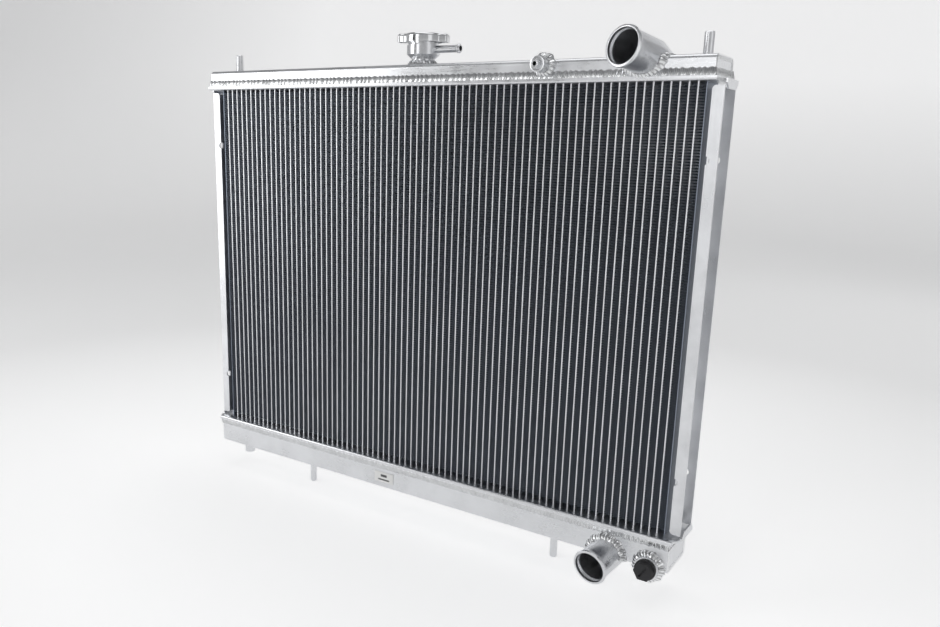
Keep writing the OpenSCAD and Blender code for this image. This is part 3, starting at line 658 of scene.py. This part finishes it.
def make_boss_beads():
    bleed = (mm_box("bleed_boss")[0] + mm_box("bleed_boss")[1]) / 2
    drain = (mm_box("drain_boss")[0] + mm_box("drain_boss")[1]) / 2
    wall_y = -HALF_Y
    piece("bleed_bead",
          [ring_bead((bleed[0], wall_y, bleed[2]), (0, -1, 0), 8.3, 5.0, 6.0, pitch=3, amp=1.0)],
          WELD, "weld_metal", replaces=["bleed_weld"])
    piece("drain_bead",
          [ring_bead((drain[0], wall_y, drain[2]), (0, -1, 0), 13.0, 5.8, 5.4, pitch=3, amp=1.1)],
          WELD, "weld_metal", replaces=["drain_weld"])
    piece("filler_bead", [ring_bead((FILLER[0], 0, TOP_Z), (0, 0, 1), 13.5, 4.8, 6.3, pitch=3.2, amp=0.9)],
          WELD, "weld_metal", replaces=["filler_weld"])
    low, high = mm_box("lower_threaded_boss")
    root = ((low[0] + high[0]) / 2, (low[1] + high[1]) / 2, high[2])
    piece("threaded_boss_bead", [ring_bead(root, (0, 0, -1), 7.5, 1.9, 1.9, pitch=1.8, amp=0.35)],
          WELD, "weld_metal", replaces=["threaded_boss_weld"])


# ---------- Cap and drain plug ----------

CAP_SHEET = 1.3


def cap_form(x, y):
    """Signed distance to the cap's outline: a disc run into a rounded bar for its ears (mm)."""
    disc = math.hypot(x, y) - 22.3
    corner = 4.5
    bx, by = abs(x) - (30.9 - corner), abs(y) - (8.5 - corner)
    bar = math.hypot(max(bx, 0), max(by, 0)) + min(max(bx, by), 0) - corner
    blend = 3.0
    mix = max(0.0, min(1.0, 0.5 + 0.5 * (bar - disc) / blend))
    return bar + (disc - bar) * mix - blend * mix * (1 - mix)


def cap_radius(angle, inset):
    low, high = 0.0, 33.0
    for _ in range(24):
        middle = (low + high) / 2
        if cap_form(middle * math.cos(angle), middle * math.sin(angle)) < -inset:
            low = middle
        else:
            high = middle
    return low


def make_cap():
    """Pressed shell: a rolled shoulder round the ears, a shallow ring groove and two inner hooks."""
    turn = math.radians(19.0)
    outer = [(0.05, 27.0), (0.0, 27.4), (0.0, 33.0)]
    outer += [(3.4 * (1 - math.cos(t)), 33.0 + 3.7 * math.sin(t)) for t in np.linspace(0.2, 1.45, 8)]
    crown = [(17.2, 36.9), (16.2, 36.75), (15.5, 36.3), (14.4, 36.3), (13.7, 36.75), (12.8, 36.95),
             (7, 37.0), (2.65, 37.0)]
    under = [(r, z - CAP_SHEET) for r, z in reversed(crown)]
    inner = [(i + CAP_SHEET, z - CAP_SHEET * 0.9) for i, z in reversed(outer[3:])]
    inner += [(CAP_SHEET, 32.0), (CAP_SHEET, 27.4), (CAP_SHEET - 0.05, 27.0)]
    rings = []
    count = 240
    for k in range(count):
        a = 2 * math.pi * k / count
        ring = [(cap_radius(a, i), z) for i, z in outer] + crown + under
        ring += [(cap_radius(a, i), z) for i, z in inner]
        rings.append([(FILLER[0] + r * math.cos(a + turn), r * math.sin(a + turn), TOP_Z + z)
                      for r, z in ring])
    hooks = []
    hook = [(18.6, 24.6), (22.1, 24.6), (22.1, 29.0), (21.2, 29.0), (21.2, 26.3), (18.6, 26.3)]
    for middle in (90, 270):
        arc_rings = []
        for k in range(13):
            a = turn + math.radians(middle - 14 + 28 * k / 12)
            arc_rings.append([(FILLER[0] + r * math.cos(a), r * math.sin(a), TOP_Z + z) for r, z in hook])
        hooks.append(swept(arc_rings, closed=False))
    piece("cap_cover", [swept(rings, closed=True)] + hooks, CAP, "cap_steel", body="cap",
          replaces=["cap_shell"], sharp=50)


def coil(centre, z0, z1, radius, wire, turns, wraps=1.0):
    """Round wire wound between two heights, with a dead turn at each end (mm)."""
    total = turns + 2 * wraps
    steps = int(total * 48)
    rings = []
    for i in range(steps + 1):
        t = i / steps * total
        run = min(max((t - wraps) / turns, 0), 1)
        flat = wire * 0.98
        z = z0 + wire / 2 + flat * min(t, wraps) * 0.2 + flat * max(0, t - turns - wraps) * 0.2
        z += (z1 - z0 - wire - 0.4 * flat * wraps) * run
        a = 2 * math.pi * t
        side = np.array([math.cos(a), math.sin(a), 0])
        rings.append([np.array([*centre, z]) + wire / 2 * (math.cos(b) * side + np.array([0, 0, math.sin(b)]))
                      + radius * side for b in np.linspace(0, 2 * math.pi, 12, endpoint=False)])
    return swept(rings, closed=False)


def make_springs():
    """Both springs as wound coils over the heights of their CAD nodes, each riding on its valve's body."""
    centre = (FILLER[0], 0.0)
    for node, body, joint, radius, wire, turns, travel, held in (
            ("pressure_spring", "pressure_valve", "pressure_valve_lift", 12, 1.7, 2.0, 3.0, 0),
            ("vacuum_spring", "vacuum_valve", "vacuum_valve_drop", 2.3, 0.5, 3.0, 1.5, 1)):
        low, high = mm_box(node)
        z0, z1 = low[2], high[2]
        made = piece(node + "_coil", [coil(centre, z0, z1, radius, wire, turns, 0.5)], SPRING,
                     "spring_steel", body=body, replaces=[node])
        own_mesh(made)


def softened(node, width, body="root", least=35):
    """A copy of a CAD node whose sharp edges are broken by a small rounded bevel."""
    source = nodes[node]
    bm = bmesh.new()
    bm.from_mesh(source.data)
    bm.transform(source.matrix_world)
    bmesh.ops.remove_doubles(bm, verts=bm.verts, dist=1e-6)
    bmesh.ops.dissolve_limit(bm, angle_limit=math.radians(1), verts=bm.verts, edges=bm.edges)
    sharp = [e for e in bm.edges if e.is_manifold and e.calc_face_angle(0) > math.radians(least)]
    bmesh.ops.bevel(bm, geom=sharp, offset=width * MM, segments=2, profile=0.5, affect="EDGES",
                    clamp_overlap=True)
    bmesh.ops.triangulate(bm, faces=[f for f in bm.faces if len(f.verts) > 4])
    mesh = bpy.data.meshes.new(node + "_softened")
    bm.to_mesh(mesh)
    bm.free()
    mesh.polygons.foreach_set("use_smooth", [True] * len(mesh.polygons))
    mesh.set_sharp_from_angle(angle=math.radians(32))
    mesh.materials.append(source.data.materials[0])
    made = bpy.data.objects.new(node + "_softened", mesh)
    bpy.context.scene.collection.objects.link(made)
    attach(made, body)
    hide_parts(node)


make_fins()
make_seams()
make_end_beads()
make_necks()
make_boss_beads()
make_cap()
make_springs()
for name in ("bleed_boss", "bleed_nipple", "drain_boss", "lower_threaded_boss", "data_plate"):
    softened(name, 0.4)
softened("drain_plug", 0.6, body="drain_plug")
softened("cap_rivet", 0.4, body="cap_carrier")


# ---------- Stage, light and camera ----------

def make_stage():
    """A floor that curves up into a wall all round, like a studio cove, that glows: for the camera a painted
    pool of light on the floor, brightest near the object, and a wall painted darker towards -X; for other
    rays a painted glow, strongest low down, that stands in for bounce light.
    """
    material, shader = node_material("studio_paper_painted_light", (0.9, 0.9, 0.9), 0.0, 0.9)
    tree = material.node_tree
    coords = tree.nodes.new("ShaderNodeTexCoord").outputs["Object"]
    split = tree.nodes.new("ShaderNodeSeparateXYZ")
    tree.links.new(coords, split.inputs[0])
    # painted shade: the paper's colour darkens up the wall, from 0.80 on the floor to 0.70
    height = ranged(tree, split.outputs["Z"], 0, 1, 0.0, 1.6)
    tree.links.new(mixed(tree, height, (0.80, 0.80, 0.80), (0.70, 0.70, 0.705)), shader.inputs["Base Color"])
    shader.inputs["Emission Color"].default_value = (1, 1, 1, 1)
    away = tree.nodes.new("ShaderNodeVectorMath")
    away.operation = "LENGTH"
    tree.links.new(coords, away.inputs[0])
    # painted light: for the camera the floor glows brightest near the object and fades outwards, and the wall
    # glows less towards -X
    painted_floor_light = ranged(tree, away.outputs["Value"], 0.50, 0.29, 0.45, 1.3)
    painted_wall_light = ranged(tree, split.outputs["X"], 0.26, 0.49, -3.6, -2.7)
    painted_backdrop_light = blended(tree, ranged(tree, split.outputs["Z"], 0, 1, 0.05, 0.8), painted_floor_light, painted_wall_light)
    # painted bounce light: for other rays the cove glows strongest low down, lighting the object
    painted_bounce_light = ranged(tree, split.outputs["Z"], 0.33, 0.05, 0.0, 0.9)
    seen = tree.nodes.new("ShaderNodeLightPath").outputs["Is Camera Ray"]
    tree.links.new(blended(tree, seen, painted_bounce_light, painted_backdrop_light), shader.inputs["Emission Strength"])
    floor_z = min(mm_box("bottom_pin_left")[0][2], mm_box("outlet_neck")[0][2])
    flat, curve, wall = 2600, 1400, 2200
    profile = [(0, 0), (flat * 0.5, 0), (flat, 0)]
    profile += [(flat + curve * math.sin(t), curve * (1 - math.cos(t)))
                for t in np.linspace(0.1, math.pi / 2, 24)]
    profile.append((flat + curve, curve + wall))
    count = 96
    verts, faces = [], []
    for i in range(count):
        a = 2 * math.pi * i / count
        verts += [(max(r, 0.01) * math.cos(a), max(r, 0.01) * math.sin(a), floor_z + h) for r, h in profile]
    faces = grid_faces(count, len(profile), close_rows=True)
    cove = new_object("studio_cove", verts, faces, material)
    black = node_material("studio_flag", (0.01, 0.01, 0.01), 0.0, 0.9)[0]
    flag = new_object("studio_flag", [(-1500, -2000, 350), (-760, -2000, 350), (-760, -2000, 1500),
                                      (-1500, -2000, 1500)], [(0, 1, 2, 3)], black)


def area_light(name, place, target, width, height, power, tint=(1, 1, 1)):
    light = bpy.data.lights.new(name, "AREA")
    light.shape = "RECTANGLE"
    light.size, light.size_y = width, height
    light.energy = power
    light.color = tint
    lamp = bpy.data.objects.new(name, light)
    bpy.context.scene.collection.objects.link(lamp)
    aim = Vector(target) - Vector(place)
    lamp.matrix_world = Matrix.Translation(place) @ aim.to_track_quat("-Z", "Y").to_matrix().to_4x4()


def make_lights():
    world = bpy.data.worlds.new("studio")
    bpy.context.scene.world = world
    world.use_nodes = True
    background = world.node_tree.nodes["Background"]
    background.inputs["Color"].default_value = (0.93, 0.94, 0.96, 1)
    background.inputs["Strength"].default_value = 0.26
    area_light("left_softbox", (-2.0, -1.7, 0.9), (0, 0, 0.25), 1.0, 1.8, 14)
    area_light("front_softbox", (-0.25, -2.6, 1.1), (0, 0, 0.25), 0.7, 1.6, 5)
    area_light("right_softbox", (2.2, -0.6, 0.8), (0.2, 0, 0.25), 1.0, 1.6, 2.5)
    area_light("top_softbox", (0, 0.2, 2.4), (0, 0, 0), 2.2, 1.6, 12)
    area_light("back_softbox", (0.6, 2.4, 1.2), (0, 0, 0.2), 1.8, 1.4, 3.5)


def make_camera():
    """Same viewing angle and framing as a three-quarter studio shot from the right."""
    azimuth, elevation, roll = math.radians(34.0), math.radians(13.33), math.radians(1.32)
    place = Vector((0.5911, -0.8705, 0.4544))
    ahead = Vector((-math.sin(azimuth) * math.cos(elevation), math.cos(azimuth) * math.cos(elevation),
                    -math.sin(elevation)))
    right = Vector((math.cos(azimuth), math.sin(azimuth), 0))
    above = right.cross(ahead)
    turned_right = math.cos(roll) * right + math.sin(roll) * above
    turned_above = -math.sin(roll) * right + math.cos(roll) * above
    data = bpy.data.cameras.new("camera")
    data.sensor_width = 36
    data.lens = 32.15
    data.shift_x = 0.0468
    data.shift_y = 0.0284
    data.clip_start = 0.02
    camera = bpy.data.objects.new("camera", data)
    bpy.context.scene.collection.objects.link(camera)
    rotation = Matrix((turned_right, turned_above, -ahead)).transposed()
    camera.matrix_world = Matrix.Translation(place) @ rotation.to_4x4()
    bpy.context.scene.camera = camera


make_stage()
make_lights()
make_camera()
bpy.context.scene.view_settings.view_transform = "Standard"
